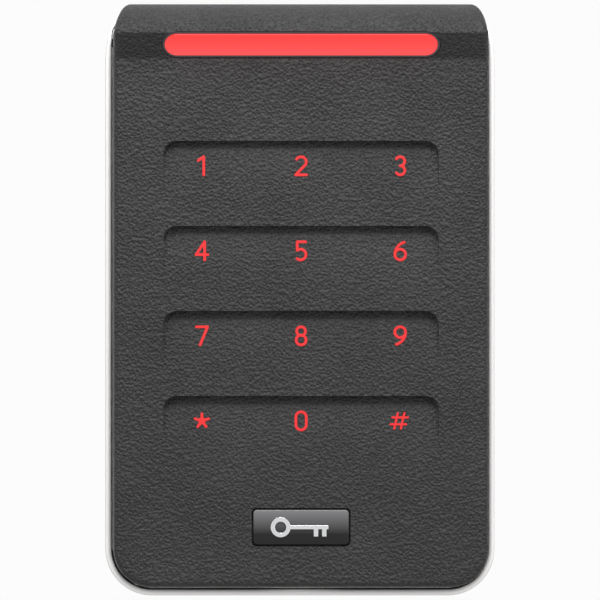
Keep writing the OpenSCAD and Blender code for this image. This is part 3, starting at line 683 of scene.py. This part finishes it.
def paint_grazing_shade(mat, grazing_shade):
    """Painted shade: the colour falls to a darker one as the surface turns away from the eye, which darkens
    the rim's rolled outer edge.
    """
    tree = mat.node_tree
    link = tree.links.new
    shader = tree.nodes["Principled BSDF"]
    facing = add(tree, "ShaderNodeLayerWeight")
    turn = add(tree, "ShaderNodeMapRange")
    turn.inputs["From Min"].default_value = 0.25
    turn.inputs["From Max"].default_value = 0.85
    tones = add(tree, "ShaderNodeMix", data_type="RGBA")
    tones.inputs[7].default_value = (*grazing_shade, 1)
    front = shader.inputs["Base Color"].links[0].from_socket
    link(facing.outputs["Facing"], turn.inputs["Value"])
    link(turn.outputs["Result"], tones.inputs["Factor"])
    link(front, tones.inputs[6])
    link(tones.outputs[2], shader.inputs["Base Color"])


def lit_material(name, low_colour, high_colour, strength, z_low, z_high, rough=0.32):
    """Lit translucent red: colour and glow run from low_colour at z_low to high_colour at z_high (mm)."""
    body = (0.22, 0.006, 0.006)
    mat = finish_material(name, body, body, (rough, rough + 0.1), bump=0.02,
                          settings={"Specular IOR Level": 0.25})
    tree = mat.node_tree
    link = tree.links.new
    shader = tree.nodes["Principled BSDF"]
    place = add(tree, "ShaderNodeTexCoord")
    split = add(tree, "ShaderNodeSeparateXYZ")
    run = add(tree, "ShaderNodeMapRange")
    run.inputs["From Min"].default_value = z_low * MM
    run.inputs["From Max"].default_value = z_high * MM
    ramp = add(tree, "ShaderNodeValToRGB")
    ramp.color_ramp.elements[0].color = (*low_colour, 1)
    ramp.color_ramp.elements[1].color = (*high_colour, 1)
    link(place.outputs["Object"], split.inputs[0])
    link(split.outputs["Z"], run.inputs["Value"])
    link(run.outputs["Result"], ramp.inputs["Fac"])
    link(ramp.outputs["Color"], shader.inputs["Emission Color"])
    shader.inputs["Emission Strength"].default_value = strength
    return mat


def make_materials():
    """Every slot's finish, by the record's slot names."""
    made = {}
    made["case_black"] = finish_material(
        "pebble_grained_black", (0.001, 0.001, 0.001), (0.046, 0.0445, 0.045), (0.34, 0.56),
        cells=1750, fine=5200, fine_share=0.3, bump=1.0, bump_mm=0.6, edge=(0.04, 0.039, 0.04),
        settings={"Specular IOR Level": 0.26})
    made["plate_silver"] = finish_material(
        "silver_flake_paint", (0.84, 0.83, 0.82), (0.95, 0.94, 0.93), (0.34, 0.5), metal=0.0,
        cells=4200, fine=9000, fine_share=0.5, bump=0.5, bump_mm=0.06, settings={"Specular IOR Level": 0.3})
    # Painted shade: the plate's silver darkens where its surface turns away from the eye
    paint_grazing_shade(made["plate_silver"], (0.36, 0.35, 0.345))
    made["cover_black"] = finish_material(
        "matt_moulded_black", (0.018, 0.018, 0.019), (0.035, 0.035, 0.037), (0.5, 0.7),
        cells=3200, bump=0.3, bump_mm=0.04, edge=(0.06, 0.06, 0.062))
    made["seal_rubber"] = finish_material(
        "seal_rubber", (0.015, 0.015, 0.015), (0.03, 0.03, 0.03), (0.6, 0.85), cells=2500, bump=0.2)
    made["lamp_red"] = lit_material(
        "lit_red_lens", (1.0, 0.098, 0.098), (1.0, 0.034, 0.032), 0.95, lens_low[2], lens_high[2])
    made["legend_red"] = lit_material(
        "lit_red_legend", (1.0, 0.045, 0.05), (1.0, 0.05, 0.055), 0.6, -60, 60, rough=0.4)
    made["clear_plastic"] = finish_material(
        "clear_light_guide", (0.86, 0.88, 0.9), (0.95, 0.96, 0.97), (0.08, 0.16), bump=0.03,
        settings={"Transmission Weight": 0.8, "IOR": 1.49})
    made["smoked_plastic"] = finish_material(
        "smoked_window", (0.04, 0.03, 0.04), (0.07, 0.05, 0.06), (0.06, 0.12), bump=0.03, coat=0.6,
        settings={"Transmission Weight": 0.3, "IOR": 1.5})
    made["badge_gloss"] = badge_material()
    made["chrome_foil"] = finish_material(
        "bright_foil", (0.82, 0.83, 0.85), (0.95, 0.95, 0.96), (0.12, 0.24), metal=1.0, cells=4000,
        bump=0.04)
    made["board_green"] = finish_material(
        "solder_resist_green", (0.01, 0.09, 0.035), (0.02, 0.16, 0.06), (0.25, 0.4), coat=0.4,
        cells=900, bump=0.08)
    made["module_blue"] = finish_material(
        "solder_resist_blue", (0.012, 0.05, 0.14), (0.02, 0.09, 0.22), (0.25, 0.4), coat=0.4,
        cells=1100, bump=0.08)
    made["film_amber"] = finish_material(
        "amber_film", (0.42, 0.19, 0.03), (0.6, 0.3, 0.06), (0.2, 0.35), coat=0.3, cells=1000, bump=0.05)
    made["chip_black"] = finish_material(
        "moulded_chip", (0.014, 0.014, 0.015), (0.028, 0.028, 0.03), (0.45, 0.62), cells=4200, bump=0.15)
    made["tinned_steel"] = finish_material(
        "tinned_steel", (0.55, 0.56, 0.57), (0.75, 0.76, 0.77), (0.22, 0.4), metal=1.0, cells=1400,
        bump=0.06)
    made["screw_steel"] = finish_material(
        "passivated_steel", (0.45, 0.455, 0.46), (0.68, 0.685, 0.69), (0.24, 0.42), metal=1.0, cells=2600,
        bump=0.1, edge=(0.8, 0.8, 0.8))
    made["copper_wire"] = finish_material(
        "enamelled_copper", (0.45, 0.17, 0.05), (0.7, 0.32, 0.12), (0.22, 0.36), metal=1.0, cells=5200,
        bump=0.3, coat=0.3)
    made["insert_brass"] = finish_material(
        "turned_brass", (0.6, 0.42, 0.16), (0.8, 0.6, 0.28), (0.22, 0.36), metal=1.0, cells=3000, bump=0.1)
    made["connector_ivory"] = finish_material(
        "ivory_nylon", (0.66, 0.62, 0.5), (0.78, 0.75, 0.64), (0.4, 0.55), cells=2200, bump=0.1)
    made["terminal_green"] = finish_material(
        "green_nylon", (0.02, 0.17, 0.055), (0.04, 0.27, 0.1), (0.4, 0.56), cells=2600, bump=0.15,
        edge=(0.08, 0.36, 0.15))
    made["lamp_white"] = finish_material(
        "lamp_package", (0.8, 0.74, 0.56), (0.92, 0.88, 0.76), (0.3, 0.45), cells=3000, bump=0.05)
    return made


def badge_material():
    """Gloss smoked badge, darker at its foot, under a clear coat."""
    mat = finish_material("gloss_badge", (0.02, 0.02, 0.022), (0.05, 0.05, 0.054), (0.1, 0.16), bump=0.02,
                          coat=0.25, settings={"Specular IOR Level": 0.25})
    tree = mat.node_tree
    link = tree.links.new
    shader = tree.nodes["Principled BSDF"]
    place = add(tree, "ShaderNodeTexCoord")
    split = add(tree, "ShaderNodeSeparateXYZ")
    run = add(tree, "ShaderNodeMapRange")
    run.inputs["From Min"].default_value = (BADGE_Z - BADGE_H / 2) * MM
    run.inputs["From Max"].default_value = (BADGE_Z + BADGE_H / 2) * MM
    ramp = add(tree, "ShaderNodeValToRGB")
    ramp.color_ramp.elements[0].position = 0.3
    ramp.color_ramp.elements[0].color = (0.006, 0.006, 0.0065, 1)
    ramp.color_ramp.elements[1].color = (0.16, 0.16, 0.165, 1)
    link(place.outputs["Object"], split.inputs[0])
    link(split.outputs["Z"], run.inputs["Value"])
    link(run.outputs["Result"], ramp.inputs["Fac"])
    link(ramp.outputs["Color"], shader.inputs["Base Color"])
    return mat


finishes = make_materials()
slot_of = {row["node"]: row["material_slot"] for row in frame["record"]["subparts"]}
for node_name, node_object in nodes.items():
    node_object.data.materials.clear()
    node_object.data.materials.append(finishes[slot_of[node_name]])

# ---- pieces ----


def make_case():
    points, quads = case_surface()
    shell = add_piece("case_shell", points, quads, finishes["case_black"], "reader", smooth=False)
    close_rear(shell.data)
    shade_smooth(shell.data, 40)
    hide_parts("front_housing")


def make_screw_pocket():
    """Pocket under the case: a box with 1.15 mm walls, open below and at the back."""
    wall = 1.15
    x0, x1 = POCKET_W / 2, POCKET_W / 2 + wall
    z0, z1, z2 = BOTTOM + 0.02, POCKET_TOP, POCKET_TOP + wall
    d0, d1, d2 = REAR + 0.05, POCKET_D, POCKET_D + wall
    path_in = np.array([[-x0, z0], [-x0, z1], [x0, z1], [x0, z0]])
    path_out = np.array([[-x1, z0], [-x1, z2], [x1, z2], [x1, z0]])
    rings = [np.insert(path_in, 1, d0, 1), np.insert(path_in, 1, d1, 1),
             np.insert(path_out, 1, d2, 1), np.insert(path_out, 1, d0, 1)]
    points = np.concatenate(rings)
    quads = []
    for a, b in ((0, 1), (2, 3), (3, 0)):
        quads += [[a * 4 + i, a * 4 + i + 1, b * 4 + i + 1, b * 4 + i] for i in range(3)]
    quads.append([4, 5, 6, 7])
    quads.append([8, 9, 10, 11][::-1])
    quads.append([4, 7, 11, 8])
    quads.append([0, 4, 8, 12])
    quads.append([3, 15, 11, 7])
    pocket = add_piece("screw_pocket", points, quads, finishes["case_black"], "reader", smooth=False)
    rounding = pocket.modifiers.new("edge_rounding", "BEVEL")
    rounding.width = 0.2 * MM
    rounding.segments = 2


def make_lens():
    """Light bar lens: a stadium pillow, flush at its rim and barely crowned."""
    loop = stadium_loop(LENS_W / 2, LENS_H / 2, 17)
    section = [(0.0, -2.0), (0.0, -0.35), (0.05, -0.18), (0.16, -0.05), (0.34, 0.03), (0.7, 0.08),
               (1.3, 0.11), (2.2, 0.12)]
    points, faces = pillow(loop, section)
    lens = add_piece("light_bar", on_slope(points), faces, finishes["lamp_red"], "reader")
    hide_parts("light_bar_lens")


def make_groove_shade_liner():
    """Dark gloss trim in the light bar's groove: a thin ring between the case and the lens, partly a seal and
    partly painted shade for the groove's shadow gap.
    """
    outer = stadium_loop(LENS_W / 2 + GROOVE, LENS_H / 2 + GROOVE, 17)
    inner = stadium_loop(LENS_W / 2 + 0.02, LENS_H / 2 + 0.02, 17)
    # Dark ring at the groove's floor: painted shade for the shadow gap round the lens, with a seal's gloss
    rings = [(outer, -1.0), (outer, -0.32), ((outer + inner) / 2, -0.26), (inner, -0.32), (inner, -1.0),
             (outer, -1.0)]
    points = np.concatenate([np.concatenate([loop, np.full((len(loop), 1), out)], 1) for loop, out in rings])
    shade_liner = add_piece("light_bar_shade_trim", on_slope(points), grid_faces(len(rings), len(outer), wrap=True),
                      finishes["smoked_plastic"], "reader")


def make_legends():
    for name in sorted(n for n in nodes if n.startswith("legend_")):
        legend = copy_of_node(name, name.replace("legend", "key_mark"), finishes["legend_red"],
                              shift=0.1, bevel=0.05)
        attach(legend, "reader")
        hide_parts(name)


def make_badge():
    """Badge: a rounded rectangle with a soft pillow edge, and a raised plain key on it."""
    loop = rounded_loop(BADGE_W / 2, BADGE_H / 2, 0.7)
    section = [(0.0, 0.0), (0.0, 0.6), (0.06, 0.72), (0.18, 0.79), (0.4, 0.82), (1.0, 0.83), (3.0, 0.83)]
    points, faces = pillow(loop, section)
    base = -badge_high[1]
    placed = np.stack([points[:, 0], base + points[:, 2], points[:, 1] + BADGE_Z], 1)
    plaque = add_piece("badge_plaque", placed, faces, finishes["badge_gloss"], "reader")
    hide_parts("badge_plate")
    emblem = copy_of_node("badge_emblem", "key_emblem", finishes["chrome_foil"], shift=0.06, bevel=0.08)
    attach(emblem, "reader")
    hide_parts("badge_emblem")


def make_plate():
    points, quads = swept_rim()
    rim = add_piece("plate_rim", points, quads, finishes["plate_silver"], "wall_plate")

    def inside(face):
        """Keeps the rear face, web, hooks and tab, and drops the CAD rim's own walls."""
        centre = face.calc_center_median() / MM
        depth, x, z = -centre.y, abs(centre.x), centre.z
        near_edge = x > half_width(min(z, TOP)) - 1.2 or z < BOTTOM + 0.9
        from_outline = -rounded_box_distance(
            np.array(x), np.array(z) - (BOTTOM + OUTLINE_HALF_H), HALF_W, OUTLINE_HALF_H, CORNER)
        return depth < 0.01 or not (near_edge or (z < 0 and from_outline < 0.9))

    web = copy_of_node("mounting_plate", "plate_web", finishes["plate_silver"], keep=inside)
    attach(web, "wall_plate")
    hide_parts("mounting_plate")


make_case()
make_screw_pocket()
make_lens()
make_groove_shade_liner()
make_legends()
make_badge()
make_plate()
